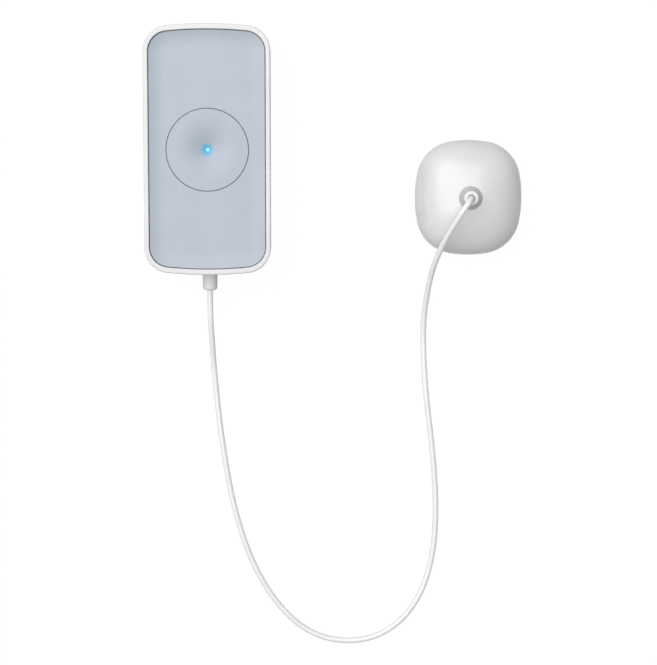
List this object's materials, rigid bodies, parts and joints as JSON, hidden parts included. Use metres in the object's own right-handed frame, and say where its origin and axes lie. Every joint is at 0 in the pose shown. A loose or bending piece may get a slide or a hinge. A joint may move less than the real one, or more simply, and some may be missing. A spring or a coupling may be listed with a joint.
{
  "type": "water leak sensor",
  "caption": "Battery water leak sensor: flat main unit with a lit push button, and a floor probe on a thin cable.",
  "frame": {"origin": "centre of the main unit's back face, on the surface that the unit, the cable and the probe lie on", "axes": "+Z out of the front panel, +Y to the main unit's top end, +X towards the probe"},
  "size_m": [0.1505, 0.2531, 0.0296],
  "materials": {
    "white_plastic": "satin moulded ABS",
    "panel_plastic": "satin blue-grey moulded ABS",
    "probe_plastic": "satin moulded ABS",
    "seal_rubber": "matte silicone",
    "cable_jacket": "smooth TPE jacket",
    "relief_rubber": "matte TPE",
    "light_lens": "clear polycarbonate",
    "lamp": "moulded lamp body",
    "board": "solder-masked glass laminate",
    "black_plastic": "moulded nylon",
    "shield": "drawn nickel silver",
    "cell": "wrapped steel can",
    "contact": "nickel-plated spring steel",
    "screw": "zinc-plated steel",
    "stud": "turned stainless steel",
    "connector": "natural nylon"
  },
  "bodies": {
    "root": {"rear_housing": "white_plastic", "front_bezel": "white_plastic", "front_panel": "panel_plastic", "perimeter_seal": "seal_rubber", "status_led": "lamp", "circuit_board": "board", "tact_switch": "black_plastic", "radio_module": "shield", "battery_left": "cell", "battery_right": "cell", "battery_springs": "contact", "battery_plates": "contact", "housing_screws": "screw", "cable_strain_relief": "relief_rubber", "inner_lead": "cable_jacket", "connector_header": "connector", "connector_plug": "connector", "sensor_cable": "cable_jacket", "probe_shell": "probe_plastic", "probe_base": "probe_plastic", "probe_seal": "seal_rubber", "probe_board": "board", "probe_electrodes": "stud", "probe_screws": "screw", "cable_collar": "probe_plastic", "cable_anchor": "screw", "probe_lead": "cable_jacket"},
    "button": {"button_disc": "panel_plastic", "light_guide": "light_lens"},
    "plunger": {"switch_plunger": "black_plastic"},
    "door": {"battery_door": "white_plastic"}
  },
  "joints": [
    {"name": "button_press", "type": "slide", "parent": "root", "child": "button", "axis": [0, 0, -1], "range_m": [0, 0.0005], "stiffness_N_per_m": 1000, "springref_m": -0.0015},
    {"name": "plunger_press", "type": "slide", "parent": "root", "child": "plunger", "axis": [0, 0, -1], "range_m": [0, 0.0005]},
    {"name": "door_slide", "type": "slide", "parent": "root", "child": "door", "axis": [0, 1, 0], "range_m": [0, 0.056]}
  ],
  "couplings": [
    {"joint": "plunger_press", "follows": "button_press", "ratio": 1}
  ]
}
